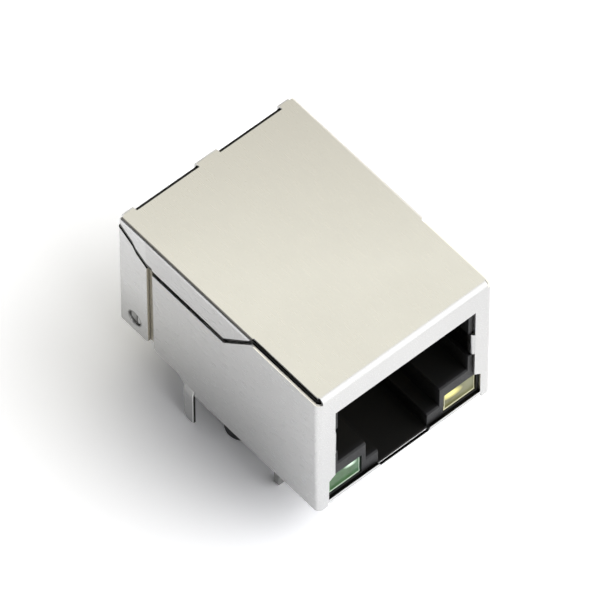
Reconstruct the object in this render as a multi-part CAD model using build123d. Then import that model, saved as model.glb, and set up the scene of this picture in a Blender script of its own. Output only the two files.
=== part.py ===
from build123d import *
import os

# RJ45 board jack, tab down, with lamps and magnetics inside one folded shield.
# Drawn in millimetres: X across, Y from the plug side to the rear, Z up from the board.
# While drawing, Y = 0 is the shield's front face. At the end everything moves forward so
# that the origin is on the board, midway between the two locating pegs.

# Shield, one folded sheet
SHEET = 0.2
WIDTH = 16.0
DEPTH = 21.2
HEIGHT = 13.1
FRONT_BEND = 0.45
REAR_BEND = 0.3
CORNER_DROP = 0.48
SEAM_FROM_SIDE = 0.35

# Shield front: plug opening with a lamp window in each lower corner
OPEN_HALF = 6.42
OPEN_DROP = 2.48
WINDOW_MARGIN = 0.2
WINDOW_TOP = 2.85
WINDOW_SLANT = 0.4
SILL = 0.7
SILL_NOTCH_HALF = 2.2
SILL_NOTCH = 0.27
NOTCH_RAMP = 0.2
LIP_DEPTH = 2.6
LIP_WEB = 0.5
LIP_CORNER = 0.15
TONGUE_HALF = 2.1
TONGUE_GAP = 0.2
TONGUE_FRONT = 0.38
TONGUE_RISE = 0.1

# Ground springs, one at each side of the opening
SPRING_LOW = 5.75
SPRING_TALL = 2.25
SPRING_BOW = 0.5
SPRING_LENGTH = 6.4
SPRING_BEND = 0.3
SPRING_ROUND = 1.2
SPRING_CLEAR = 0.2

# Side seams between the top's flaps and the side panels
FLAP_DROP = 2.7
FLAP_SEAM = 0.55
FLAP_FRONT = 9.95
FLAP_FRONT_TOP = 7.1
FLAP_REAR_DROP = 0.8
SEAM_KINK_Y = 1.3
SEAM_KINK_RUN = 0.4
SEAM_KINK_RISE = 0.28
WING_SEAM = 0.35

# Rear cover, its wings and the latch on each wing
WING_LENGTH = 3.1
WING_LOW = 1.2
WING_CLEAR = 0.04
STEP_GAP = 0.6
STEP_RUN = 0.3
STEP_LOW = 1.4
PANEL_REAR_LOW = 1.0
LATCH_R = 0.64
LATCH_FROM_REAR = 1.7
LATCH_Z = 2.65
NUB_CLEAR = 0.12
SLOT_WIDE = 0.28
SLOT_DROP = 0.7
BRIDGE_HALF = 0.95
SLOT_FROM_SIDE = 1.35

# Shield legs
LEG_WIDE = 1.05
LEG_FROM_REAR = 8.05
LEG_KINK = 0.12
LEG_KINK_Z = 0.55
LEG_KINK_DROP = 0.6
LEG_TAPER = 0.3
LEG_NOTCH_RUN = 0.75
LEG_NOTCH_LOW = 0.35

# Board side: locating pegs and how far every lead reaches through the board
LEAD_REACH = 3.3
PEG_R = 1.5
PEG_SPACING = 11.43
PEG_FROM_BACK = 1.9
PEG_REACH = 2.85
PEG_ROOT = 0.5
PEG_CHAMFER = 0.3

# Housing with the plug cavity
FIT = 0.05
CAVITY_HALF = 6.0
CAVITY_DROP = 2.35
CAVITY_FLOOR = 3.95
CAVITY_WALL = 1.4
KEY_HALF = 3.4
KEY_FLOOR = 2.0
KEY_WALL = 2.7
LATCH_HALF = 2.25
LATCH_FLOOR = 0.62
LEDGE_CHAMFER = 0.12

# Lamps, one in each lower corner, with two bent leads each
LAMP_WIDE = 2.95
LAMP_TALL = 1.9
LAMP_FROM_SIDE = 2.68
LAMP_LOW = 0.85
LAMP_SETBACK = 0.34
LAMP_CLEAR = 0.06
LAMP_BAY_BEHIND = 0.9
LAMP_EDGE = 0.12
LAMP_LEAD = 0.5
LAMP_LEAD_SPACING = 2.54
LAMP_LEADS_FROM_SIDE = 2.44
LAMP_LEAD_BEHIND = 0.56
LAMP_LEAD_SHARE = 0.447
LAMP_LEAD_Z = 1.75
LAMP_LEAD_BEND = 0.25

# Contact springs in the roof of the cavity
CONTACTS = 8
CONTACT_PITCH = 1.02
CONTACT_WIDE = 0.4
CONTACT_THICK = 0.25
CONTACT_CLEAR = 0.1
CONTACT_NOSE_Y = 2.6
CONTACT_TIP_BACK = 2.0
CONTACT_TIP_DROP = 2.45
CONTACT_BEND = 0.45
CONTACT_TAIL = 1.9

# Terminal block behind the housing, with four coil cells and the signal pins
BLOCK_LOW = 1.05
BLOCK_FLOOR = 1.5
BLOCK_FRONT = 0.5
BLOCK_SIDE = 0.7
BLOCK_BACK = 0.7
CELL_DEEP_EXTRA = 0.195
CELLS = 4
CELL_WALL = 0.4
PINS = 8
PIN_PITCH = 1.27
PIN_ROW_STEP = 2.54
PIN_ROW_MARGIN = 0.33
PIN_SIDE = 0.5
PIN_HOLE_CLEAR = 0.03
PIN_TIP = 0.35
PIN_ABOVE_BOARD = 0.25

# Circuit board lying on the terminal block
BOARD_THICK = 0.8
BOARD_MARGIN = 0.25
ROOF_CLEAR = 0.15

# Coils: two transformers and two chokes, each a ring core with its winding
COIL_CLEAR = 0.17
CORE_WALL = 0.6
TRANSFORMER_LONG = 1.9
CHOKE_LONG = 1.3
WINDING_THICK = 0.15
WINDING_CLEAR = 0.03
TRANSFORMER_ANGLE = 310
CHOKE_ANGLE = 250

# Small parts on the circuit board
RESISTORS = 4
RESISTOR_SIZE = (0.8, 1.6, 0.45)
RESISTOR_PITCH = 1.27
SMALL_PARTS_BACK = 3.05
CAPACITOR_SIZE = (4.5, 2.0, 1.0)

# How far a cutting shape runs past the face that it cuts
PAST = 1.0

# Places that follow from the sizes above
half = WIDTH / 2
inside = half - SHEET
top_inside = HEIGHT - SHEET
flap_low = HEIGHT - FLAP_DROP
flap_rear_top = HEIGHT - FLAP_REAR_DROP
cavity_top = HEIGHT - CAVITY_DROP
board_top = top_inside - CAPACITOR_SIZE[2] - ROOF_CLEAR
board_low = board_top - BOARD_THICK
contact_top = board_top + CONTACT_THICK
lamp_centre = half - LAMP_FROM_SIDE
lamp_leads_centre = half - LAMP_LEADS_FROM_SIDE
block_half = inside - SHEET - WING_CLEAR - FIT
board_half = block_half - BOARD_MARGIN
small_parts_x = board_half / 2
cell_wide = (2 * (block_half - BLOCK_SIDE) - (CELLS - 1) * CELL_WALL) / CELLS
coil_outer = cell_wide / 2 - COIL_CLEAR
core_outer = coil_outer - WINDING_CLEAR - WINDING_THICK
core_inner = core_outer - CORE_WALL
cell_deep = cell_wide + CELL_DEEP_EXTRA
bay_deep = PIN_ROW_STEP + PIN_SIDE + 2 * PIN_ROW_MARGIN
block_rear = DEPTH - SHEET - FIT
bay_rear = block_rear - BLOCK_BACK
bay_front = bay_rear - bay_deep
cell_front = bay_front - CELL_WALL - cell_deep
block_front = cell_front - BLOCK_FRONT
housing_front = SHEET + FIT
housing_rear = block_front - FIT
cavity_rear = housing_rear - CAVITY_WALL
key_rear = housing_rear - KEY_WALL
peg_y = housing_rear - PEG_FROM_BACK
lamp_lead_y = housing_rear * LAMP_LEAD_SHARE
lamp_rear = lamp_lead_y - LAMP_LEAD_BEHIND
lamp_bay_rear = lamp_lead_y + LAMP_BAY_BEHIND


def block(x0, x1, y0, y1, z0, z1):
    """Box between two opposite corners."""
    centre = Pos((x0 + x1) / 2, (y0 + y1) / 2, (z0 + z1) / 2)
    return centre * Box(x1 - x0, y1 - y0, z1 - z0)


def along_x(face, x0, x1):
    """Extrude a face drawn as (y, z) from x0 to x1."""
    return extrude(Plane.YZ.offset(x0) * face, amount=x1 - x0)


def along_y(face, y0, y1):
    """Extrude a face drawn as (x, z) from y0 to y1."""
    return extrude(Plane.XZ.offset(-y1) * face, amount=y1 - y0)


def along_z(face, z0, z1):
    """Extrude a face drawn as (x, y) from z0 to z1."""
    return extrude(Plane.XY.offset(z0) * face, amount=z1 - z0)


def outline(*points):
    """Flat face with straight sides through the points."""
    return make_face(Polyline(*points, close=True))


def bent_strip(points, radii, thickness, side):
    """Section of a strip that follows the points, with rounded bends, on one side of them."""
    path = FilletPolyline(*points, radius=radii)
    return make_face(offset(path, amount=thickness, side=side))


def both_sides(shape):
    """The shape and its mirror image across the middle plane."""
    return shape + mirror(shape, about=Plane.YZ)


# Shield

def side_panel():
    """Right side panel with its front bend, stepped in at the rear, trimmed to its outline."""
    corner_top = HEIGHT - CORNER_DROP
    step_x = half - SHEET - WING_CLEAR
    step_start = DEPTH - WING_LENGTH - STEP_GAP
    rear = DEPTH - REAR_BEND - SHEET
    points = (
        (half - 2 * FRONT_BEND, 0),
        (half, 0),
        (half, step_start),
        (step_x, step_start + STEP_RUN),
        (step_x, rear),
    )
    radii = [FRONT_BEND, SHEET / 2, SHEET / 2]
    wrap = along_z(bent_strip(points, radii, SHEET, Side.LEFT), 0, corner_top)
    panel_top = flap_low - FLAP_SEAM
    leg_rear = DEPTH - LEG_FROM_REAR + LEG_WIDE
    trim = outline(
        (-PAST, 0),
        (leg_rear, 0),
        (leg_rear, LEG_NOTCH_LOW),
        (leg_rear + LEG_NOTCH_RUN, PANEL_REAR_LOW),
        (step_start - STEP_RUN, PANEL_REAR_LOW),
        (step_start + STEP_RUN, STEP_LOW),
        (rear + PAST, STEP_LOW),
        (rear + PAST, panel_top),
        (FLAP_FRONT, panel_top),
        (FLAP_FRONT_TOP, corner_top),
        (-PAST, corner_top),
    )
    return wrap & along_x(trim, 0, half + PAST)


def side_leg():
    """Right solder leg, kinked outwards a little below the side panel."""
    foot_x = half + LEG_KINK
    points = (
        (half, LEG_KINK_Z + PAST),
        (half, LEG_KINK_Z),
        (foot_x, LEG_KINK_Z - LEG_KINK_DROP),
        (foot_x, -LEAD_REACH),
    )
    strip = bent_strip(points, [SHEET, SHEET], SHEET, Side.RIGHT)
    front = DEPTH - LEG_FROM_REAR
    rear = front + LEG_WIDE
    trim = outline(
        (front, LEG_KINK_Z + PAST),
        (rear, LEG_KINK_Z + PAST),
        (rear, -LEAD_REACH + 2 * LEG_TAPER),
        (rear - LEG_TAPER, -LEAD_REACH),
        (front + LEG_TAPER / 3, -LEAD_REACH),
        (front, -LEAD_REACH + LEG_TAPER / 3),
    )
    return along_y(strip, front, rear) & along_x(trim, half - PAST, half + PAST)


def front_top_rear():
    """Front face, top and rear cover as one bent strip, with its bends."""
    points = (
        (LIP_DEPTH, 0),
        (0, 0),
        (0, HEIGHT),
        (DEPTH, HEIGHT),
        (DEPTH, WING_LOW),
    )
    radii = [FRONT_BEND, FRONT_BEND, REAR_BEND]
    strip = bent_strip(points, radii, SHEET, Side.RIGHT)
    reach = half - FRONT_BEND
    return along_x(strip, -reach, reach)


def top_sheet():
    """Top panel out to the seams, and on to the flaps further back."""
    rear = DEPTH - REAR_BEND
    to_seam = block(0, half - SEAM_FROM_SIDE, FRONT_BEND, rear, top_inside, HEIGHT)
    to_flap = block(0, half - REAR_BEND, FLAP_FRONT_TOP, rear, top_inside, HEIGHT)
    return both_sides(to_seam + to_flap)


def seam_line(offset_z):
    """Points of the slanted seam between a flap and a wing, from its low end up."""
    low_y = DEPTH - WING_LENGTH
    kink_y = low_y + SEAM_KINK_Y
    rear = DEPTH - REAR_BEND
    slope = (flap_rear_top - SEAM_KINK_RISE - flap_low) / (rear - low_y)
    run = SEAM_KINK_RUN / 2
    kink_z = flap_low + slope * SEAM_KINK_Y + offset_z
    return (
        (low_y, flap_low + offset_z),
        (kink_y - run, kink_z - run * slope),
        (kink_y + run, kink_z + run * slope + SEAM_KINK_RISE),
        (rear, flap_rear_top + offset_z),
        (rear + PAST, flap_rear_top + offset_z),
    )


def top_flap():
    """Right flap, bent down from the top over the upper part of the side."""
    points = (
        (half - PAST, HEIGHT),
        (half, HEIGHT),
        (half, flap_low - PAST),
    )
    strip = bent_strip(points, [REAR_BEND], SHEET, Side.RIGHT)
    rear = DEPTH - REAR_BEND
    trim = outline(
        (FLAP_FRONT, flap_low),
        *seam_line(0)[:-1],
        (rear, HEIGHT),
        (FLAP_FRONT_TOP, HEIGHT),
    )
    return along_y(strip, FLAP_FRONT_TOP, rear) & along_x(trim, half - PAST, half)


def rear_wing():
    """Right wing, bent forward from the rear cover over the stepped part of the side."""
    points = (
        (half - PAST, DEPTH),
        (half, DEPTH),
        (half, DEPTH - WING_LENGTH - PAST),
    )
    strip = bent_strip(points, [REAR_BEND], SHEET, Side.RIGHT)
    front = DEPTH - WING_LENGTH
    trim = outline(
        (front, STEP_LOW),
        (front + STEP_LOW - WING_LOW, WING_LOW),
        (DEPTH, WING_LOW),
        *reversed(seam_line(-WING_SEAM)),
    )
    wing = along_z(strip, WING_LOW, flap_rear_top) & along_x(trim, half - PAST, half)
    return wing - latch_cylinder(LATCH_R, inside - WING_CLEAR / 2, half + PAST)


def latch_cylinder(radius, x0, x1):
    """Round bar through the right wing where its latch is."""
    at = Location((x0, DEPTH - LATCH_FROM_REAR, LATCH_Z), (0, 90, 0))
    return at * Cylinder(radius, x1 - x0, align=(Align.CENTER, Align.CENTER, Align.MIN))


def latch_nub():
    """Nub pressed out of the stepped panel into the wing's hole."""
    inner = half - 2 * SHEET - WING_CLEAR
    return latch_cylinder(LATCH_R - NUB_CLEAR, inner + SHEET / 2, half - SHEET / 2)


def rear_slots():
    """Slots through the bend between the top and the rear cover, leaving three bridges."""
    front = DEPTH - REAR_BEND - SLOT_WIDE
    low = HEIGHT - SLOT_DROP
    slot = block(BRIDGE_HALF, half - SLOT_FROM_SIDE, front, DEPTH + PAST, low, HEIGHT + PAST)
    return both_sides(slot)


def front_opening():
    """Plug opening with the lamp windows and the notched sill, cut through the front face."""
    notch_z = SILL - SILL_NOTCH
    top = HEIGHT - OPEN_DROP
    window_half = lamp_centre + LAMP_WIDE / 2 + WINDOW_MARGIN
    right = outline(
        (0, top),
        (OPEN_HALF, top),
        (OPEN_HALF, WINDOW_TOP + WINDOW_SLANT),
        (window_half, WINDOW_TOP),
        (window_half, SILL),
        (SILL_NOTCH_HALF + NOTCH_RAMP, SILL),
        (SILL_NOTCH_HALF, notch_z),
        (0, notch_z),
    )
    return both_sides(along_y(right, -PAST, FRONT_BEND + SHEET))


def lip_cuts():
    """Window for the tongue in the folded lower lip, and the lip's cut corners."""
    start = SHEET * 1.5
    reach = TONGUE_HALF + TONGUE_GAP
    window = block(-reach, reach, start, LIP_DEPTH - LIP_WEB, -PAST, SILL - SILL_NOTCH)
    corner = half - FRONT_BEND - LIP_CORNER
    lip_end = block(corner, half, start, LIP_DEPTH + PAST, -PAST, start)
    return both_sides(lip_end) + window


def tongue():
    """Tongue in the middle of the lower lip, rising a little towards the plug opening."""
    root = LIP_DEPTH - LIP_WEB / 2
    section = outline(
        (root, 0),
        (root, SHEET),
        (TONGUE_FRONT, SHEET + TONGUE_RISE),
        (TONGUE_FRONT, TONGUE_RISE),
    )
    return along_x(section, -TONGUE_HALF, TONGUE_HALF)


def ground_spring():
    """Right ground spring: a tab of the front face bent into the opening and bowed."""
    end = SPRING_LENGTH
    face = CAVITY_HALF + SHEET
    points = (
        (OPEN_HALF + SHEET, 0),
        (face, 0),
        (face, end / 5),
        (face - SPRING_BOW, end * 2 / 3),
        (face, end),
    )
    radii = [SPRING_BEND, SPRING_ROUND, SPRING_ROUND]
    strip = bent_strip(points, radii, SHEET, Side.RIGHT)
    return along_z(strip, SPRING_LOW, SPRING_LOW + SPRING_TALL)


def make_shield():
    """The whole folded sheet as one solid."""
    front = front_top_rear() - front_opening() - lip_cuts() - rear_slots()
    sheet = front + both_sides(side_panel())
    sheet += top_sheet() - rear_slots()
    sheet += both_sides(top_flap())
    sheet += both_sides(rear_wing())
    sheet += tongue()
    sheet += both_sides(latch_nub())
    sheet += both_sides(side_leg())
    sheet += both_sides(ground_spring())
    return sheet


# Housing

def lamp_bay():
    """Tunnel for the right lamp, open below at its rear for the leads."""
    reach = LAMP_WIDE / 2 + LAMP_CLEAR
    top = LAMP_LOW + LAMP_TALL + LAMP_CLEAR
    bay = block(lamp_centre - reach, lamp_centre + reach, 0, lamp_bay_rear, LAMP_LOW, top)
    lead_reach = (LAMP_LEAD_SPACING + LAMP_LEAD) / 2 + LAMP_CLEAR
    lead_room = block(
        lamp_leads_centre - lead_reach, lamp_leads_centre + lead_reach,
        lamp_rear - LAMP_LEAD_BEND, lamp_bay_rear, -PAST, top,
    )
    return bay + lead_room


def contact_slot(x):
    """Slot in the cavity's roof and rear wall for one contact spring."""
    side = CONTACT_WIDE / 2 + CONTACT_CLEAR
    slot_top = contact_top + CONTACT_CLEAR
    front = CONTACT_NOSE_Y - CONTACT_CLEAR * 2
    low = cavity_top - PAST
    return block(x - side, x + side, front, housing_rear + PAST, low, slot_top)


def contact_xs():
    """Centres of the contact springs across the jack."""
    first = -(CONTACTS - 1) * CONTACT_PITCH / 2
    return [first + CONTACT_PITCH * n for n in range(CONTACTS)]


def locating_peg():
    """Right locating peg with a chamfered end."""
    post = Cylinder(PEG_R, PEG_REACH + PEG_ROOT, align=(Align.CENTER, Align.CENTER, Align.MIN))
    post = chamfer(post.edges().sort_by(Axis.Z)[0], PEG_CHAMFER)
    return Pos(PEG_SPACING / 2, peg_y, -PEG_REACH) * post


def make_housing():
    """Front moulding: plug cavity, keyway, lamp bays, contact comb and pegs."""
    outer = inside - FIT
    body = block(-outer, outer, housing_front, housing_rear, 0, top_inside - FIT)
    front_rim = body.faces().sort_by(Axis.Y)[0].edges()
    body = chamfer(front_rim, FRONT_BEND - SHEET)
    body -= block(-CAVITY_HALF, CAVITY_HALF, 0, cavity_rear, CAVITY_FLOOR, cavity_top)
    body -= block(-KEY_HALF, KEY_HALF, 0, key_rear, KEY_FLOOR, CAVITY_FLOOR + PAST)
    body -= block(-LATCH_HALF, LATCH_HALF, 0, key_rear, LATCH_FLOOR, KEY_FLOOR + PAST)
    body -= both_sides(lamp_bay())
    body -= lip_room()
    body -= both_sides(spring_window())
    for x in contact_xs():
        body -= contact_slot(x)
    body += both_sides(locating_peg())
    edges = [edge for edge in body.edges() if ledge_edge(edge)]
    return chamfer(edges, LEDGE_CHAMFER)


def lip_room():
    """Room below for the shield's folded lip, its bend and its tongue."""
    lip = block(-half, half, 0, LIP_DEPTH + FIT, -PAST, SHEET + FIT)
    lip += block(-half, half, 0, FRONT_BEND, -PAST, FRONT_BEND)
    reach = TONGUE_HALF + TONGUE_GAP
    top = SHEET + TONGUE_RISE + FIT
    return lip + block(-reach, reach, 0, LIP_DEPTH - LIP_WEB, -PAST, top)


def ledge_edge(edge):
    """True for the front edges of the ledges over the lamps and of the keyway's steps."""
    centre = edge.center()
    size = edge.bounding_box().size
    at_front = abs(centre.Y - housing_front) < 0.01 and size.Y < 0.01
    on_ledge = abs(centre.Z - CAVITY_FLOOR) < 0.01 and size.Z < 0.01
    on_step = abs(centre.Z - KEY_FLOOR) < 0.01 and size.Z < 0.01
    return at_front and (on_ledge or on_step)


def spring_window():
    """Room in the right cavity wall for the ground spring."""
    clear = SPRING_CLEAR
    return block(
        CAVITY_HALF - SPRING_BOW, CAVITY_HALF + 2 * SHEET + SPRING_CLEAR + FIT,
        0, SPRING_LENGTH + clear,
        SPRING_LOW - clear, SPRING_LOW + SPRING_TALL + clear,
    )


# Lamps

def lamp_lead(x):
    """One bent lamp lead, from the back of the lamp down through the board."""
    back = lamp_lead_y + LAMP_LEAD / 2
    top = LAMP_LEAD_Z + LAMP_LEAD / 2
    points = ((lamp_rear, top), (back, top), (back, -LEAD_REACH))
    strip = bent_strip(points, [LAMP_LEAD_BEND + LAMP_LEAD / 2], LAMP_LEAD, Side.RIGHT)
    lead = along_x(strip, x - LAMP_LEAD / 2, x + LAMP_LEAD / 2)
    tip = lead.faces().sort_by(Axis.Z)[0]
    return chamfer(tip.edges(), LAMP_LEAD / 6)


def make_lamp():
    """Right lamp: a moulded light block with softened edges."""
    low = lamp_centre - LAMP_WIDE / 2
    high = lamp_centre + LAMP_WIDE / 2
    body = block(low, high, LAMP_SETBACK, lamp_rear, LAMP_LOW, LAMP_LOW + LAMP_TALL)
    front = body.faces().sort_by(Axis.Y)[0]
    return fillet(front.edges(), LAMP_EDGE)


# Contacts

def make_contact(x):
    """Contact spring: forward along the roof, round a nose and back down into the cavity."""
    tail = housing_rear + CONTACT_TAIL
    nose = CONTACT_NOSE_Y
    drop = 2 * CONTACT_BEND + CONTACT_THICK
    points = (
        (tail, contact_top),
        (nose, contact_top),
        (nose, contact_top - drop),
        (cavity_rear - CONTACT_TIP_BACK, cavity_top - CONTACT_TIP_DROP),
    )
    radii = [CONTACT_BEND, CONTACT_BEND]
    strip = bent_strip(points, radii, CONTACT_THICK, Side.LEFT)
    return along_x(strip, x - CONTACT_WIDE / 2, x + CONTACT_WIDE / 2)


# Terminal block, pins and board

def cell_centre(n):
    """Centre of coil cell n across the jack."""
    left = -block_half + BLOCK_SIDE + cell_wide / 2
    return left + n * (cell_wide + CELL_WALL)


def pin_place(n):
    """Place of signal pin n: two staggered rows in the rear bay."""
    x = (n - (PINS - 1) / 2) * PIN_PITCH
    y = bay_front + PIN_ROW_MARGIN + PIN_SIDE / 2 + PIN_ROW_STEP * (n % 2)
    return x, y


def make_terminal_block():
    """Tray with coil cells, an open rear bay, holes for the signal pins and a tall rear wall."""
    body = block(-block_half, block_half, block_front, block_rear, BLOCK_LOW, board_low)
    body += block(-block_half, block_half, bay_rear, block_rear, board_low, top_inside - FIT)
    floor = BLOCK_LOW + BLOCK_FLOOR
    top = board_low + PAST
    reach = cell_wide / 2
    for n in range(CELLS):
        x = cell_centre(n)
        body -= block(x - reach, x + reach, cell_front, cell_front + cell_deep, floor, top)
    bay_side = block_half - BLOCK_SIDE
    body -= block(-bay_side, bay_side, bay_front, bay_rear, floor, top)
    for n in range(PINS):
        body -= pin_hole(n, 0, top)
    return body


def pin_hole(n, low, high):
    """Clearance hole for signal pin n."""
    x, y = pin_place(n)
    reach = PIN_SIDE / 2 + PIN_HOLE_CLEAR
    return block(x - reach, x + reach, y - reach, y + reach, low, high)


def make_pin(n):
    """Square signal pin from its tapered tip up through the circuit board."""
    x, y = pin_place(n)
    reach = PIN_SIDE / 2
    head = board_top + PIN_ABOVE_BOARD
    body = block(x - reach, x + reach, y - reach, y + reach, -LEAD_REACH, head)
    tip = body.faces().sort_by(Axis.Z)[0]
    return chamfer(tip.edges(), PIN_TIP, PIN_SIDE / 6)


def make_circuit_board():
    """Board on top of the terminal block, with a hole for every signal pin."""
    board = block(-board_half, board_half, block_front, bay_rear - FIT, board_low, board_top)
    for n in range(PINS):
        board -= pin_hole(n, board_low - PAST, board_top + PAST)
    return board


# Coils and small parts

def coil_length(n):
    """Length of coil n: transformers in the outer cells, chokes in the inner ones."""
    return TRANSFORMER_LONG if n in (0, CELLS - 1) else CHOKE_LONG


def coil_place(n):
    """Centre of coil n, standing on the floor of its cell."""
    y = cell_front + cell_deep / 2
    return Location((cell_centre(n), y, BLOCK_LOW + BLOCK_FLOOR + coil_outer), (90, 0, 0))


def make_core(n):
    """Ferrite ring of coil n."""
    long = coil_length(n)
    ring = Cylinder(core_outer, long) - Cylinder(core_inner, long)
    return coil_place(n) * ring


def make_winding(n):
    """Winding of coil n: a sleeve of wire wrapped round most of the ring."""
    long = coil_length(n)
    gap = WINDING_CLEAR
    skin = WINDING_CLEAR + WINDING_THICK
    outer = Rectangle(CORE_WALL + 2 * skin, long + 2 * skin)
    inner = Rectangle(CORE_WALL + 2 * gap, long + 2 * gap)
    section = Pos((core_inner + core_outer) / 2, 0) * (outer - inner)
    angle = TRANSFORMER_ANGLE if long == TRANSFORMER_LONG else CHOKE_ANGLE
    sleeve = revolve(Plane.XZ * section, axis=Axis.Z, revolution_arc=angle)
    return coil_place(n) * (Rot(0, 0, -90 + (360 - angle) / 2) * sleeve)


def small_part(x, wide, long, tall):
    """Block on the circuit board, in the row of small parts."""
    y = block_front + SMALL_PARTS_BACK
    return block(x - wide / 2, x + wide / 2, y - long / 2, y + long / 2, board_top, board_top + tall)


def make_resistor(n):
    """Chip resistor n on the circuit board."""
    wide, long, tall = RESISTOR_SIZE
    x = -small_parts_x + (n - (RESISTORS - 1) / 2) * RESISTOR_PITCH
    return small_part(x, wide, long, tall)


def make_capacitor():
    """High-voltage chip capacitor on the circuit board."""
    wide, long, tall = CAPACITOR_SIZE
    body = small_part(small_parts_x, wide, long, tall)
    return fillet(body.edges().filter_by(Axis.X), tall / 8)


def make_parts():
    """Every piece by its node name."""
    parts = {
        "shield": make_shield(),
        "housing": make_housing(),
        "terminal_block": make_terminal_block(),
        "circuit_board": make_circuit_board(),
        "right_lamp": make_lamp(),
        "left_lamp": mirror(make_lamp(), about=Plane.YZ),
        "capacitor": make_capacitor(),
    }
    for side, sign in (("left", -1), ("right", 1)):
        for place, step in (("inner", -1), ("outer", 1)):
            x = sign * (lamp_leads_centre + step * LAMP_LEAD_SPACING / 2)
            parts[f"{side}_lamp_{place}_lead"] = lamp_lead(x)
    for n, x in enumerate(contact_xs(), start=1):
        parts[f"contact_{n}"] = make_contact(x)
    for n in range(PINS):
        parts[f"pin_{n + 1}"] = make_pin(n)
    for n in range(CELLS):
        parts[f"coil_core_{n + 1}"] = make_core(n)
        parts[f"coil_winding_{n + 1}"] = make_winding(n)
    for n in range(RESISTORS):
        parts[f"resistor_{n + 1}"] = make_resistor(n)
    return parts


os.makedirs("parts", exist_ok=True)
for name, shape in make_parts().items():
    export_step(Pos(0, -peg_y, 0) * shape, f"parts/{name}.step")
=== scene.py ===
import bpy
import bmesh
from math import radians
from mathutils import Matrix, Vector


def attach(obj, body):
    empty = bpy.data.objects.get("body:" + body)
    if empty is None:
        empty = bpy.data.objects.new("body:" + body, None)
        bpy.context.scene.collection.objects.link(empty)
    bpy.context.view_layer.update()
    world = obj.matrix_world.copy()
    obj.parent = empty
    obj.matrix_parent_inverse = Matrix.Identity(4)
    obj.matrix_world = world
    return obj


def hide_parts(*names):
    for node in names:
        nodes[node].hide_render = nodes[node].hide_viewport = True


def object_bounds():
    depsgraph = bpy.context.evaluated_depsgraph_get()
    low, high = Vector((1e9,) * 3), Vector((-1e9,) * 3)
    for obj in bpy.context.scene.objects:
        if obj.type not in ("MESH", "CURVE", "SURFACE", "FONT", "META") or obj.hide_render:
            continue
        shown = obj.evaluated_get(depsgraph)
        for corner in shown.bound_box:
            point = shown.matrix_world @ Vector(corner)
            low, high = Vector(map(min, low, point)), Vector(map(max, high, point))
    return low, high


# Dresses the shielded board jack. Lengths are in metres, in the jack's own frame:
# X across the jack, -Y out of the plug opening, Z up from the circuit board.

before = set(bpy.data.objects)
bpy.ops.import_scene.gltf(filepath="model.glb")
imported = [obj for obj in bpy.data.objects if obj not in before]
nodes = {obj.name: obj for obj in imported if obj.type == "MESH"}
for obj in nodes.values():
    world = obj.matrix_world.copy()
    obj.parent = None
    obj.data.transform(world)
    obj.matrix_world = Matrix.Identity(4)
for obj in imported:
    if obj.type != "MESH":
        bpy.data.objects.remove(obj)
cad_low, cad_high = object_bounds()

MM = 0.001

# Places on the jack, from the frame
FLOOR_Z = cad_low.z
TOP_Z = cad_high.z
REAR_Y = cad_high.y
FRONT_Y = min(corner.co.y for corner in nodes["housing"].data.vertices)
LEG_FRONT = min(corner.co.y for corner in nodes["shield"].data.vertices if corner.co.z < -MM)

# Side panel: the flap over it, the step and the wing behind it
FLAP_LOW = TOP_Z - 2.7 * MM
STEP_LOW = 0.5 * MM
STEP_TOP = FLAP_LOW - 0.3 * MM
STEP_FRONT = REAR_Y - 3.68 * MM
WING_FRONT = REAR_Y - 3.09 * MM
LATCH_CENTRE = (REAR_Y - 1.7 * MM, 2.65 * MM)
LATCH_R = 0.56 * MM

# Slanted seam between flap and wing, with its kink
SEAM_FRONT = REAR_Y - 3.1 * MM
SEAM_REAR = REAR_Y - 0.3 * MM
SEAM_RISE = 1.62 * MM
SEAM_SHADE = 0.24 * MM
KINK_FRONT = SEAM_FRONT + 1.1 * MM
KINK_REAR = SEAM_FRONT + 1.5 * MM
KINK_RISE = 0.28 * MM

# Front of the housing: its posts beside the cavity and its ledges over the lamps
POST_HALF = 6.12 * MM
LEDGE_HALF = 6.8 * MM
LEDGE_TOP = 4.05 * MM

# Camera
CAMERA_PLACE = (-0.273674, -0.314918, 0.591066)
CAMERA_TURN = (35.5448, 0.0608, -41.0134)
CAMERA_LENS = 620.0
CAMERA_SENSOR = 36.0

# Studio: where each light stands, and how pale the floor is to the eye
OVERHEAD = (0.38, 0.44, 0.81)
LEFT_SIDE = (-0.989, -0.136, -0.061)
FRONT_WALL = (0.5, -0.85, 0.2)
MIRROR_LIMIT = 1.45
FLOOR_SIZE = 2.0
FLOOR_LIFT = 0.43

# Lamps: rounded lens edge, sunk rim and the tilt of the painted highlight
LENS_EDGE = 0.10 * MM
LENS_RIM = 0.03 * MM
PAINTED_HIGHLIGHT_ANGLE = radians(14)

# How far cut edges are rounded
SHEET_EDGE = 0.03 * MM
MOULDING_EDGE = 0.05 * MM

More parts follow.
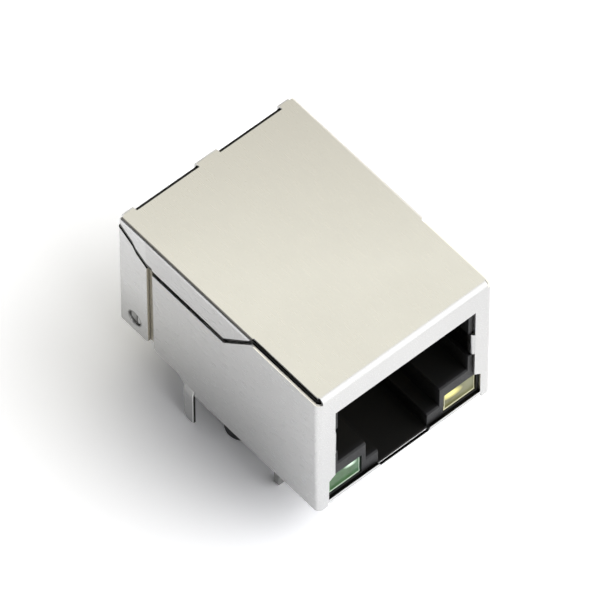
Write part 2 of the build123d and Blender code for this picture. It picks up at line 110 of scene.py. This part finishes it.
# Shades of the plated sheet, area by area: past the plating's own tone, painted shade and painted
# highlights
PLATING = (0.668, 0.665, 0.653)
PLATING_PALE = (0.688, 0.685, 0.673)
TOP_REAR_SHADE = (0.53, 0.52, 0.505)
SIDE_SHADE_HIGH = (0.555, 0.553, 0.552)
SIDE_SHADE_LOW = (0.48, 0.48, 0.475)
WING_SHADE_HIGH = (0.61, 0.608, 0.607)
WING_SHADE_LOW = (0.39, 0.39, 0.385)
FLAP_BEND_HIGHLIGHT = (0.99, 0.95, 0.86)
FRONT_SHADE_LEFT = (0.625, 0.623, 0.618)
FRONT_SHADE_RIGHT = (0.535, 0.533, 0.53)
CUT_EDGE_HIGHLIGHT = (0.99, 0.985, 0.97)
STEP_SHADE = (0.49, 0.455, 0.365)
LATCH_NUB_SHADE = (0.26, 0.26, 0.25)
LATCH_GAP_SHADE = (0.20, 0.20, 0.195)
# Painted shade for gaps, cut faces and hollows out of the light
GAP_SHADE = (0.02, 0.019, 0.017)


def maths(tree, operation, *values):
    """One step of arithmetic on shader values."""
    node = tree.nodes.new("ShaderNodeMath")
    node.operation = operation
    for value, socket in zip(values, node.inputs):
        tree.links.new(value, socket)
    return node.outputs["Value"]


# Camera

def set_camera():
    """Looks down on the front left corner from about 55 degrees."""
    data = bpy.data.cameras.new("camera")
    data.lens = CAMERA_LENS
    data.sensor_width = CAMERA_SENSOR
    data.clip_start = 0.05
    data.clip_end = 10.0
    camera = bpy.data.objects.new("camera", data)
    camera.location = CAMERA_PLACE
    camera.rotation_euler = [radians(turn) for turn in CAMERA_TURN]
    bpy.context.scene.collection.objects.link(camera)
    bpy.context.scene.camera = camera


# Studio

def towards(tree, direction, start, end, low, high):
    """Goes from low to high as the sky comes nearer to a direction."""
    place = tree.nodes.new("ShaderNodeTexCoord")
    along = tree.nodes.new("ShaderNodeVectorMath")
    along.operation = "DOT_PRODUCT"
    along.inputs[1].default_value = Vector(direction).normalized()
    spread = tree.nodes.new("ShaderNodeMapRange")
    spread.interpolation_type = "SMOOTHSTEP"
    spread.inputs["From Min"].default_value = start
    spread.inputs["From Max"].default_value = end
    spread.inputs["To Min"].default_value = low
    spread.inputs["To Max"].default_value = high
    tree.links.new(place.outputs["Generated"], along.inputs[0])
    tree.links.new(along.outputs["Value"], spread.inputs["Value"])
    return spread.outputs["Result"]


def sky_colour(tree):
    """Cool all round, warm from the panel overhead."""
    ramp = tree.nodes.new("ShaderNodeValToRGB")
    ramp.color_ramp.elements[0].color = (0.97, 0.975, 0.99, 1.0)
    ramp.color_ramp.elements[1].color = (1.0, 0.975, 0.855, 1.0)
    tree.links.new(towards(tree, OVERHEAD, 0.82, 0.96, 0.0, 1.0), ramp.inputs["Fac"])
    return ramp.outputs["Color"]


def sky_strength(tree):
    """Dark at the left, brighter overhead, brightest at the wall in front."""
    around = towards(tree, LEFT_SIDE, -0.25, 0.0, 0.90, 0.10)
    panel = towards(tree, OVERHEAD, 0.8, 0.97, 0.0, 0.30)
    wall = towards(tree, FRONT_WALL, 0.4, 0.9, 0.0, 2.95)
    return maths(tree, "ADD", maths(tree, "ADD", around, wall), panel)


def set_sky():
    """Studio light. Glossy faces mirror it only up to a limit, so pale metal keeps its tone."""
    world = bpy.data.worlds.new("studio_light")
    bpy.context.scene.world = world
    world.use_nodes = True
    tree = world.node_tree
    strength = sky_strength(tree)
    mirrored = tree.nodes.new("ShaderNodeMath")
    mirrored.operation = "MINIMUM"
    mirrored.inputs[1].default_value = MIRROR_LIMIT
    tree.links.new(strength, mirrored.inputs[0])
    rays = tree.nodes.new("ShaderNodeLightPath")
    shown = tree.nodes.new("ShaderNodeMix")
    tree.links.new(rays.outputs["Is Glossy Ray"], shown.inputs["Factor"])
    tree.links.new(strength, shown.inputs["A"])
    tree.links.new(mirrored.outputs["Value"], shown.inputs["B"])
    background = tree.nodes["Background"]
    tree.links.new(sky_colour(tree), background.inputs["Color"])
    tree.links.new(shown.outputs["Result"], background.inputs["Strength"])


def white_floor():
    """Matt white, seen a little brighter than it lights the jack."""
    material = bpy.data.materials.new("white_floor")
    material.use_nodes = True
    tree = material.node_tree
    plain = tree.nodes["Principled BSDF"]
    plain.inputs["Base Color"].default_value = (0.95, 0.95, 0.965, 1.0)
    plain.inputs["Roughness"].default_value = 0.8
    plain.inputs["Specular IOR Level"].default_value = 0.1
    lift = tree.nodes.new("ShaderNodeBsdfDiffuse")
    lift.inputs["Color"].default_value = (FLOOR_LIFT, FLOOR_LIFT, FLOOR_LIFT, 1.0)
    lifted = tree.nodes.new("ShaderNodeAddShader")
    tree.links.new(plain.outputs["BSDF"], lifted.inputs[0])
    tree.links.new(lift.outputs["BSDF"], lifted.inputs[1])
    rays = tree.nodes.new("ShaderNodeLightPath").outputs
    seen = maths(tree, "MAXIMUM", rays["Is Camera Ray"], rays["Is Glossy Ray"])
    seen = maths(tree, "MAXIMUM", seen, rays["Is Transmission Ray"])
    blend = tree.nodes.new("ShaderNodeMixShader")
    tree.links.new(seen, blend.inputs["Fac"])
    tree.links.new(plain.outputs["BSDF"], blend.inputs[1])
    tree.links.new(lifted.outputs["Shader"], blend.inputs[2])
    tree.links.new(blend.outputs["Shader"], tree.nodes["Material Output"].inputs["Surface"])
    return material


def set_floor():
    """Pale floor that the leads stand on."""
    bpy.ops.object.select_all(action="DESELECT")
    bpy.ops.mesh.primitive_plane_add(size=FLOOR_SIZE, location=(0, 0, FLOOR_Z))
    floor = bpy.context.object
    floor.name = "floor"
    floor.data.materials.append(white_floor())


# Materials

class Finish:
    """A material under its plain name, with a few helpers for its nodes."""

    def __init__(self, name):
        self.material = bpy.data.materials.new(name)
        self.material.use_nodes = True
        self.tree = self.material.node_tree
        self.shader = self.tree.nodes["Principled BSDF"]
        self.place = self.tree.nodes.new("ShaderNodeTexCoord")

    def set(self, **values):
        """Sets plain values on the shader's own sockets."""
        for name, value in values.items():
            socket = self.shader.inputs[name.replace("_", " ")]
            socket.default_value = value
        return self

    def drive(self, name, value):
        """Lets a pattern set one of the shader's sockets."""
        self.tree.links.new(value, self.shader.inputs[name])
        return self

    # Patterns

    def stretch(self, scale):
        """Object coordinates, scaled so that a pattern is drawn out along one way."""
        mapping = self.tree.nodes.new("ShaderNodeMapping")
        mapping.inputs["Scale"].default_value = scale
        self.tree.links.new(self.place.outputs["Object"], mapping.inputs["Vector"])
        return mapping.outputs["Vector"]

    def noise(self, vector, scale, detail=3.0, roughness=0.55):
        node = self.tree.nodes.new("ShaderNodeTexNoise")
        node.inputs["Scale"].default_value = scale
        node.inputs["Detail"].default_value = detail
        node.inputs["Roughness"].default_value = roughness
        self.tree.links.new(vector, node.inputs["Vector"])
        return node.outputs["Fac"]

    def waves(self, scale, distortion, direction="X"):
        """Even bands along one axis, a little wavy."""
        node = self.tree.nodes.new("ShaderNodeTexWave")
        node.bands_direction = direction
        node.inputs["Scale"].default_value = scale
        node.inputs["Distortion"].default_value = distortion
        self.tree.links.new(self.place.outputs["Object"], node.inputs["Vector"])
        return node.outputs["Fac"]

    def spot(self, centre, size, angle):
        """1 at a point of the XZ plane, fading to 0 at the edge of a tilted oval."""
        oval = self.tree.nodes.new("ShaderNodeMapping")
        oval.vector_type = "TEXTURE"
        oval.inputs["Location"].default_value = (centre[0], 0.0, centre[1])
        oval.inputs["Rotation"].default_value = (0.0, angle, 0.0)
        oval.inputs["Scale"].default_value = (size[0], 1.0, size[1])
        fade = self.tree.nodes.new("ShaderNodeTexGradient")
        fade.gradient_type = "SPHERICAL"
        self.tree.links.new(self.place.outputs["Object"], oval.inputs["Vector"])
        self.tree.links.new(oval.outputs["Vector"], fade.inputs["Vector"])
        return fade.outputs["Fac"]

    # Places and areas

    def axis(self, name):
        """Object X, Y or Z in metres."""
        split = self.tree.nodes.new("ShaderNodeSeparateXYZ")
        self.tree.links.new(self.place.outputs["Object"], split.inputs[0])
        return split.outputs[name]

    def turn(self, name):
        """How far a face turns towards an object axis, from -1 to 1."""
        split = self.tree.nodes.new("ShaderNodeSeparateXYZ")
        self.tree.links.new(self.place.outputs["Normal"], split.inputs[0])
        return split.outputs[name]

    def after(self, name, start, end):
        """0 before one place on an axis and 1 past another."""
        return self.spread(self.axis(name), 0.0, 1.0, start, end)

    def before(self, name, start, end):
        """1 before one place on an axis and 0 past another."""
        return self.spread(self.axis(name), 1.0, 0.0, start, end)

    def between(self, name, low, high, blur):
        """1 where an axis lies between two places."""
        after = self.after(name, low - blur, low + blur)
        return self.times(after, self.before(name, high - blur, high + blur))

    def along(self, direction, start, end):
        """0 to 1 along a direction, between two distances from the origin."""
        dot = self.tree.nodes.new("ShaderNodeVectorMath")
        dot.operation = "DOT_PRODUCT"
        dot.inputs[1].default_value = direction
        self.tree.links.new(self.place.outputs["Object"], dot.inputs[0])
        return self.spread(dot.outputs["Value"], 0.0, 1.0, start, end)

    def from_middle(self, start, end):
        """0 near the jack's middle plane and 1 towards both its sides."""
        away = maths(self.tree, "ABSOLUTE", self.axis("X"))
        return self.spread(away, 0.0, 1.0, start, end)

    def facing(self, name, start, end):
        """0 to 1 as a face turns towards an object axis."""
        return self.spread(self.turn(name), 0.0, 1.0, start, end)

    def sideways(self, start, end):
        """0 to 1 as a face turns towards either side of the jack."""
        either = maths(self.tree, "ABSOLUTE", self.turn("X"))
        return self.spread(either, 0.0, 1.0, start, end)

    def radius(self, centre):
        """Distance from a point of the YZ plane."""
        away = self.tree.nodes.new("ShaderNodeVectorMath")
        away.operation = "SUBTRACT"
        away.inputs[1].default_value = (0.0, *centre)
        flat = self.tree.nodes.new("ShaderNodeVectorMath")
        flat.operation = "MULTIPLY"
        flat.inputs[1].default_value = (0.0, 1.0, 1.0)
        length = self.tree.nodes.new("ShaderNodeVectorMath")
        length.operation = "LENGTH"
        self.tree.links.new(self.place.outputs["Object"], away.inputs[0])
        self.tree.links.new(away.outputs["Vector"], flat.inputs[0])
        self.tree.links.new(flat.outputs["Vector"], length.inputs[0])
        return length.outputs["Value"]

    def over(self, value, edge, blur):
        return self.spread(value, 0.0, 1.0, edge - blur, edge + blur)

    def under(self, value, edge, blur):
        return self.spread(value, 1.0, 0.0, edge - blur, edge + blur)

    def times(self, first, *others):
        """Where all of the areas meet."""
        for other in others:
            first = maths(self.tree, "MULTIPLY", first, other)
        return first

    def most(self, first, *others):
        """Where any of the areas is."""
        for other in others:
            first = maths(self.tree, "MAXIMUM", first, other)
        return first

    # Colours and bumps

    def colour(self, red, green, blue):
        node = self.tree.nodes.new("ShaderNodeRGB")
        node.outputs[0].default_value = (red, green, blue, 1.0)
        return node.outputs[0]

    def spread(self, value, low, high, start=0.3, end=0.7):
        """Maps a value's range from start to end onto low to high."""
        node = self.tree.nodes.new("ShaderNodeMapRange")
        node.inputs["From Min"].default_value = start
        node.inputs["From Max"].default_value = end
        node.inputs["To Min"].default_value = low
        node.inputs["To Max"].default_value = high
        self.tree.links.new(value, node.inputs["Value"])
        return node.outputs["Result"]

    def shades(self, value, *stops):
        """Colours by a pattern's value, each stop a place and a colour."""
        node = self.tree.nodes.new("ShaderNodeValToRGB")
        elements = node.color_ramp.elements
        while len(elements) < len(stops):
            elements.new(0.5)
        for element, (position, colour) in zip(elements, stops):
            element.position = position
            element.color = (*colour, 1.0)
        self.tree.links.new(value, node.inputs["Fac"])
        return node.outputs["Color"]

    def mix(self, area, outside, inside):
        """One colour outside an area and another inside it."""
        node = self.tree.nodes.new("ShaderNodeMix")
        node.data_type = "RGBA"
        self.tree.links.new(area, node.inputs["Factor"])
        self.tree.links.new(outside, node.inputs["A"])
        self.tree.links.new(inside, node.inputs["B"])
        return node.outputs["Result"]

    def bump(self, *patterns):
        """Bumps on top of each other, each a pattern, a strength and a height."""
        normal = None
        for value, strength, distance in patterns:
            node = self.tree.nodes.new("ShaderNodeBump")
            node.inputs["Strength"].default_value = strength
            node.inputs["Distance"].default_value = distance
            self.tree.links.new(value, node.inputs["Height"])
            if normal:
                self.tree.links.new(normal, node.inputs["Normal"])
            normal = node.outputs["Normal"]
        self.tree.links.new(normal, self.shader.inputs["Normal"])
        return self


# Plated sheet

def top_areas(finish):
    """Painted shade: the top darkens towards the rear right corner."""
    on_top = finish.after("Z", TOP_Z - 0.4 * MM, TOP_Z - 0.05 * MM)
    rear_shade_ramp = finish.along((0.55, 0.83, 0.0), -2.0 * MM, 13.0 * MM)
    yield finish.times(on_top, rear_shade_ramp), TOP_REAR_SHADE


def side_areas(finish, side):
    """Side panels and wings in painted shade, darker towards the board."""
    yield side, SIDE_SHADE_HIGH
    yield finish.times(side, finish.before("Z", 0.0, 7.0 * MM)), SIDE_SHADE_LOW
    wing = finish.times(side, finish.after("Y", WING_FRONT, WING_FRONT + 0.1 * MM))
    yield wing, WING_SHADE_HIGH
    yield finish.times(wing, finish.before("Z", 0.0, 6.5 * MM)), WING_SHADE_LOW


def bend_areas(finish):
    """A painted highlight on the bend from the top into each flap."""
    bend = finish.times(finish.sideways(0.15, 0.35), finish.sideways(0.65, 0.45))
    on_flap = finish.between("Z", TOP_Z - 0.4 * MM, TOP_Z + 0.2 * MM, 0.03 * MM)
    yield finish.times(bend, on_flap), FLAP_BEND_HIGHLIGHT


def front_areas(finish):
    """The front face in painted shade, a little darker to the right."""
    front = finish.times(finish.facing("Y", -0.3, -0.7), finish.facing("Z", 0.5, 0.2))
    yield front, FRONT_SHADE_LEFT
    yield finish.times(front, finish.after("X", -8.0 * MM, 6.0 * MM)), FRONT_SHADE_RIGHT


def cut_areas(finish, side):
    """Cut edges: a painted highlight where open to the light, painted shade in the wing's seam
    and the sill.
    """
    up = finish.facing("Z", 0.7, 0.9)
    yield finish.times(up, finish.between("Z", 1.0 * MM, TOP_Z - 0.35 * MM, 0.05 * MM)), CUT_EDGE_HIGHLIGHT
    yield finish.times(
        finish.facing("Z", 0.2, 0.4),
        finish.between("Z", 8.0 * MM, TOP_Z - 0.4 * MM, 0.05 * MM),
        finish.after("Y", WING_FRONT - 0.05 * MM, WING_FRONT)), GAP_SHADE
    yield finish.times(side, flap_edge_shade(finish)), GAP_SHADE
    yield finish.times(up, finish.between("Z", 0.3 * MM, 0.9 * MM, 0.05 * MM)), GAP_SHADE


def flap_edge_shade(finish):
    """The flap's lower edge over the wing, painted dark as shade beside the real gap: it slants
    up to the rear and steps once.
    """
    depth = finish.axis("Y")
    slant = finish.spread(depth, FLAP_LOW, FLAP_LOW + SEAM_RISE, SEAM_FRONT, SEAM_REAR)
    kink = finish.spread(depth, 0.0, KINK_RISE, KINK_FRONT, KINK_REAR)
    above = maths(finish.tree, "SUBTRACT", finish.axis("Z"), slant)
    above = maths(finish.tree, "SUBTRACT", above, kink)
    return finish.times(
        finish.between("Y", STEP_FRONT, SEAM_REAR + 0.1 * MM, 0.03 * MM),
        finish.over(above, 0.0, 0.03 * MM),
        finish.under(above, SEAM_SHADE, 0.03 * MM))


def step_area(finish):
    """Where each side panel steps in before the wing: painted shade in the recess, drawn as a
    non-metal.
    """
    return finish.times(
        finish.between("Y", STEP_FRONT, WING_FRONT, 0.01 * MM),
        finish.between("Z", STEP_LOW, STEP_TOP, 0.05 * MM))


def leg_areas(finish):
    """The solder legs' front edges: a painted highlight on the corner beside painted shade on the
    cut face.
    """
    leg = finish.times(
        finish.before("Z", 0.1 * MM, 0.4 * MM),
        finish.between("Y", LEG_FRONT - 0.2 * MM, LEG_FRONT + 2.0 * MM, 0.02 * MM))
    corner = finish.before("Y", LEG_FRONT + 0.08 * MM, LEG_FRONT + 0.12 * MM)
    yield finish.times(leg, corner), CUT_EDGE_HIGHLIGHT
    yield finish.times(leg, finish.facing("Y", -0.5, -0.9)), GAP_SHADE


def latch_areas(finish, side):
    """The latch nub in its hole, in painted shade: raised behind its fold, with painted shadow in
    the gap round it.
    """
    fold_y = LATCH_CENTRE[0] - 0.14 * MM
    radius = finish.radius(LATCH_CENTRE)
    nub = finish.times(side, finish.under(radius, LATCH_R, 0.02 * MM))
    raised = finish.after("Y", fold_y, fold_y + 0.04 * MM)
    yield finish.times(nub, raised), LATCH_NUB_SHADE
    fold = finish.between("Y", fold_y - 0.06 * MM, fold_y + 0.06 * MM, 0.02 * MM)
    yield finish.times(nub, fold), GAP_SHADE
    gap = finish.times(
        side,
        finish.over(radius, LATCH_R - 0.04 * MM, 0.03 * MM),
        finish.under(radius, LATCH_R + 0.16 * MM, 0.03 * MM))
    yield finish.times(gap, raised), GAP_SHADE
    yield gap, LATCH_GAP_SHADE


def plug_room(finish):
    """The ground springs inside the plug opening, out of the light, painted dark as shade."""
    return finish.times(
        finish.between("X", -6.7 * MM, 6.7 * MM, 0.02 * MM),
        finish.between("Y", FRONT_Y + 0.2 * MM, FRONT_Y + 8.0 * MM, 0.15 * MM),
        finish.between("Z", 3.0 * MM, 11.0 * MM, 0.1 * MM))


def sheet_areas(finish):
    """Areas of the plated sheet with a painted shade or painted highlight of their own, each over
    the one before.
    """
    side = finish.sideways(0.5, 0.75)
    yield from top_areas(finish)
    yield from side_areas(finish, side)
    yield from bend_areas(finish)
    yield from front_areas(finish)
    yield from cut_areas(finish, side)
    yield step_area(finish), STEP_SHADE
    yield from leg_areas(finish)
    yield from latch_areas(finish, side)
    yield plug_room(finish), GAP_SHADE


def plated_sheet():
    """Satin nickel plating on rolled sheet, with painted highlights and painted shade on its cut
    edges and other areas.
    """
    finish = Finish("plated_sheet").set(Metallic=1.0)
    even = finish.stretch((1.0, 1.0, 1.0))
    grain = finish.noise(finish.stretch((1.0, 0.08, 1.0)), 12000.0, 2.0)
    cloud = finish.noise(even, 260.0, 2.0)
    fine = finish.noise(even, 22000.0, 2.0)
    plating = finish.shades(cloud, (0.3, PLATING), (0.7, PLATING_PALE))
    for area, shade in sheet_areas(finish):
        plating = finish.mix(area, plating, finish.colour(*shade))
    finish.drive("Base Color", plating)
    # The step's painted shade is drawn as a non-metal
    finish.drive("Metallic", finish.spread(step_area(finish), 1.0, 0.0, 0.0, 1.0))
    finish.drive("Roughness", finish.spread(grain, 0.26, 0.34))
    finish.bump((grain, 0.05, 1e-6), (fine, 0.08, 1e-6))
    return finish.material


# Other materials

def black_moulding():
    """Glass-filled black plastic: greyer where light reaches it, with painted shade that makes it
    deep black inside.
    """
    finish = Finish("black_moulding").set(Specular_IOR_Level=0.24)
    texture = finish.noise(finish.stretch((1.0, 1.0, 1.0)), 9000.0, 3.0)
    flow = finish.noise(finish.stretch((1.0, 0.3, 1.0)), 900.0, 3.0)
    outer = finish.shades(flow, (0.3, (0.012, 0.012, 0.013)), (0.7, (0.020, 0.020, 0.021)))
    post_side = finish.times(
        finish.after("Z", LEDGE_TOP, LEDGE_TOP + 0.1 * MM),
        finish.from_middle(POST_HALF, POST_HALF + 0.08 * MM))
    # Painted shade deep in the opening, near the board, past the ledges and beside the posts
    inside = finish.most(
        finish.after("Y", FRONT_Y + 0.12 * MM, FRONT_Y + 0.5 * MM),
        finish.before("Z", 0.8 * MM, 1.0 * MM),
        finish.from_middle(LEDGE_HALF, LEDGE_HALF + 0.1 * MM),
        post_side)
    board_side = finish.spread(finish.axis("Z"), 0.6, 1.0, 0.1 * MM, 0.3 * MM)
    painted_shade = finish.times(inside, board_side)
    finish.drive("Base Color", finish.mix(painted_shade, outer, finish.colour(0.006, 0.006, 0.0055)))
    finish.drive("Roughness", finish.spread(texture, 0.42, 0.58))
    finish.bump((texture, 0.25, 6e-6))
    return finish.material


def lens(name, node, body, far_end, edge, painted_highlight, painted_highlight_centre, painted_highlight_size):
    """Tinted light block: a painted highlight in its upper part, painted highlights along its
    pale edges and a faint clouding.
    """
    finish = Finish(name).set(
        Roughness=0.22, Subsurface_Weight=0.2, Subsurface_Radius=(0.6, 0.6, 0.5),
        Subsurface_Scale=0.0006, Specular_IOR_Level=0.25, Coat_Weight=0.05)
    low, high = place_of(node)
    even = finish.stretch((1.0, 1.0, 1.0))
    cloud = finish.noise(even, 1400.0, 3.0)
    tint = finish.shades(cloud, (0.35, body), (0.7, tuple(0.75 * part for part in body)))
    across = finish.after("X", painted_highlight_centre[0], painted_highlight_centre[0] + 1.5 * MM)
    tint = finish.mix(across, tint, finish.colour(*far_end))
    highlight_area = finish.spread(finish.spot(painted_highlight_centre, painted_highlight_size, PAINTED_HIGHLIGHT_ANGLE), 0.0, 1.0, 0.05, 0.8)
    tint = finish.mix(highlight_area, tint, finish.colour(*painted_highlight))
    # Painted highlights along the bottom and both ends of the lens
    edges = finish.most(
        finish.before("Z", low.z + 0.12 * MM, low.z + 0.22 * MM),
        finish.after("X", high.x - 0.16 * MM, high.x - 0.12 * MM),
        finish.before("X", low.x + 0.12 * MM, low.x + 0.16 * MM))
    finish.drive("Base Color", finish.mix(edges, tint, finish.colour(*edge)))
    finish.bump((finish.noise(even, 5000.0), 0.06, 4e-6))
    return finish.material


def lens_rim(name, pale, dark):
    """The lens's edge: a painted glow along the bottom, from pale colour and a little emission;
    its top stays dark.
    """
    finish = Finish(name).set(
        Roughness=0.25, Coat_Weight=0.3, Coat_Roughness=0.1, Emission_Strength=0.5)
    cloud = finish.noise(finish.stretch((1.0, 1.0, 1.0)), 2500.0, 2.0)
    painted_glow = finish.shades(cloud, (0.3, tuple(0.85 * part for part in pale)), (0.7, pale))
    upper = finish.after("Z", 1.05 * MM, 1.5 * MM)
    rim = finish.mix(upper, painted_glow, finish.colour(*dark))
    finish.drive("Base Color", rim)
    # Emission for the painted glow
    finish.drive("Emission Color", rim)
    return finish.material


def green_lens():
    return lens(
        "green_lens", "left_lamp",
        body=(0.055, 0.125, 0.05), far_end=(0.07, 0.155, 0.09), edge=(0.48, 0.58, 0.46),
        painted_highlight=(0.75, 0.95, 0.75), painted_highlight_centre=(-4.75 * MM, 2.55 * MM),
        painted_highlight_size=(0.75 * MM, 0.38 * MM))


def yellow_lens():
    return lens(
        "yellow_lens", "right_lamp",
        body=(0.137, 0.134, 0.053), far_end=(0.17, 0.17, 0.085), edge=(0.62, 0.61, 0.42),
        painted_highlight=(0.95, 0.87, 0.27), painted_highlight_centre=(4.5 * MM, 2.35 * MM),
        painted_highlight_size=(1.3 * MM, 0.6 * MM))


def tinned_wire(name, dull, bright):
    """Tin over steel: satin with small dull patches."""
    finish = Finish(name).set(Metallic=1.0)
    patch = finish.noise(finish.stretch((1.0, 1.0, 0.3)), 2500.0, 3.0)
    finish.drive("Base Color", finish.shades(patch, (0.3, dull), (0.7, bright)))
    finish.drive("Roughness", finish.spread(patch, 0.24, 0.42))
    finish.bump((patch, 0.15, 3e-6))
    return finish.material


def gold_plate():
    """Thin bright gold on the contact springs, drawn lengthwise."""
    finish = Finish("gold_plate").set(Metallic=1.0)
    drawn = finish.noise(finish.stretch((1.0, 0.08, 0.4)), 8000.0, 2.0)
    finish.drive("Base Color", finish.shades(
        drawn, (0.3, (0.80, 0.58, 0.22)), (0.7, (0.90, 0.70, 0.34))))
    finish.drive("Roughness", finish.spread(drawn, 0.18, 0.30))
    finish.bump((drawn, 0.1, 2e-6))
    return finish.material


def board_laminate():
    """Green lacquered board with the glass weave just showing."""
    finish = Finish("board_laminate").set(Coat_Weight=0.4, Coat_Roughness=0.15)
    weave = finish.waves(900.0, 1.5)
    finish.drive("Base Color", finish.shades(
        weave, (0.2, (0.03, 0.13, 0.06)), (0.8, (0.05, 0.19, 0.09))))
    finish.drive("Roughness", finish.spread(weave, 0.35, 0.5, 0.0, 1.0))
    finish.bump((weave, 0.12, 8e-6))
    return finish.material


def speckled(name, dark, light, scale, roughness, metallic=0.0):
    """Sintered or fired body with a fine speckle."""
    finish = Finish(name).set(Metallic=metallic)
    speckle = finish.noise(finish.stretch((1.0, 1.0, 1.0)), scale, 4.0, 0.7)
    finish.drive("Base Color", finish.shades(speckle, (0.35, dark), (0.65, light)))
    finish.drive("Roughness", finish.spread(speckle, roughness - 0.08, roughness + 0.08))
    finish.bump((speckle, 0.3, 8e-6))
    return finish.material


def wound_wire():
    """Enamelled copper, turn beside turn round the core."""
    finish = Finish("wound_wire").set(Metallic=0.85, Coat_Weight=0.5, Coat_Roughness=0.1)
    turns = finish.waves(1500.0, 0.6, "Z")
    finish.drive("Base Color", finish.shades(
        turns, (0.1, (0.30, 0.10, 0.04)), (0.9, (0.80, 0.36, 0.18))))
    finish.drive("Roughness", finish.spread(turns, 0.2, 0.4, 0.0, 1.0))
    finish.bump((turns, 0.6, 3e-5))
    return finish.material


# Pieces

def place_of(node):
    """Lowest and highest corner of a CAD node."""
    corners = [corner.co for corner in nodes[node].data.vertices]
    low = Vector(min(corner[n] for corner in corners) for n in range(3))
    high = Vector(max(corner[n] for corner in corners) for n in range(3))
    return low, high


def make_lens(node, body, rim):
    """Light block with rounded edges and a rimmed, slightly sunk front."""
    low, high = place_of(node)
    bpy.ops.object.select_all(action="DESELECT")
    bpy.ops.mesh.primitive_cube_add(size=1.0, location=(low + high) / 2, scale=high - low)
    piece = bpy.context.object
    piece.name = node + "_lens"
    bpy.ops.object.transform_apply(location=True, rotation=True, scale=True)
    piece.data.materials.append(body)
    piece.data.materials.append(rim)
    bpy.ops.object.mode_set(mode="EDIT")
    bpy.ops.mesh.select_mode(type="FACE")
    mesh = bmesh.from_edit_mesh(piece.data)
    for face in mesh.faces:
        face.select = face.normal.y < -0.9
    bmesh.update_edit_mesh(piece.data)
    bpy.ops.mesh.bevel(offset=LENS_EDGE, segments=3, affect="EDGES")
    mesh = bmesh.from_edit_mesh(piece.data)
    for face in mesh.faces:
        face.select = face.normal.y < -0.99 and face.calc_area() > MM * MM
        face.material_index = 0 if face.select or face.normal.y > -0.1 else 1
    bmesh.update_edit_mesh(piece.data)
    bpy.ops.mesh.inset(thickness=LENS_RIM, depth=0.0)
    bpy.ops.mesh.inset(thickness=LENS_RIM, depth=-LENS_RIM)
    bpy.ops.object.mode_set(mode="OBJECT")
    bpy.ops.object.shade_smooth_by_angle(angle=radians(35))
    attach(piece, "root")
    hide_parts(node)


def paint(node, material):
    """Gives a CAD node its material."""
    mesh = nodes[node].data
    mesh.materials.clear()
    mesh.materials.append(material)


def paint_all(start, end, material):
    """Gives a material to every CAD node whose name starts and ends so."""
    for name in nodes:
        if name.startswith(start) and name.endswith(end):
            paint(name, material)


def soften(node, width):
    """Rounds a CAD node's cut edges a little and shades its bends smoothly."""
    piece = nodes[node]
    weld = piece.modifiers.new("weld", "WELD")
    weld.merge_threshold = 1e-7
    clean = piece.modifiers.new("clean", "DECIMATE")
    clean.decimate_type = "DISSOLVE"
    clean.angle_limit = radians(0.5)
    edge = piece.modifiers.new("edge", "BEVEL")
    edge.width = width
    edge.segments = 2
    edge.limit_method = "ANGLE"
    edge.angle_limit = radians(40)
    edge.harden_normals = False
    for face in piece.data.polygons:
        face.use_smooth = True
    normals = piece.modifiers.new("normals", "WEIGHTED_NORMAL")
    normals.keep_sharp = True


set_camera()
set_sky()
set_floor()

black = black_moulding()
paint("shield", plated_sheet())
paint("housing", black)
paint("terminal_block", black)
# Lens rims with a painted glow
green_rim = lens_rim("green_lens_rim", (0.42, 0.62, 0.46), (0.06, 0.14, 0.08))
yellow_rim = lens_rim("yellow_lens_rim", (0.66, 0.64, 0.40), (0.10, 0.095, 0.04))
make_lens("left_lamp", green_lens(), green_rim)
make_lens("right_lamp", yellow_lens(), yellow_rim)
# Painted shade: a darker copy of the tin for the lamp leads, which stand in shade
lamp_wire_shaded = tinned_wire("lamp_wire_shaded", (0.26, 0.26, 0.25), (0.36, 0.355, 0.345))
paint_all("left_lamp_", "_lead", lamp_wire_shaded)
paint_all("right_lamp_", "_lead", lamp_wire_shaded)
paint_all("pin_", "", tinned_wire("tinned_wire", (0.62, 0.61, 0.59), (0.78, 0.775, 0.76)))
paint_all("contact_", "", gold_plate())

ferrite = speckled("ferrite", (0.02, 0.02, 0.022), (0.07, 0.07, 0.072), 4000.0, 0.5, 0.2)
ceramic = speckled("fired_ceramic", (0.44, 0.33, 0.20), (0.55, 0.43, 0.28), 5000.0, 0.45)
glaze = speckled("resistor_glaze", (0.015, 0.015, 0.02), (0.04, 0.04, 0.05), 3000.0, 0.3)
paint("circuit_board", board_laminate())
paint("capacitor", ceramic)
paint_all("resistor_", "", glaze)
paint_all("coil_core_", "", ferrite)
paint_all("coil_winding_", "", wound_wire())

soften("shield", SHEET_EDGE)
soften("housing", MOULDING_EDGE)

bpy.context.scene.view_settings.view_transform = "Standard"
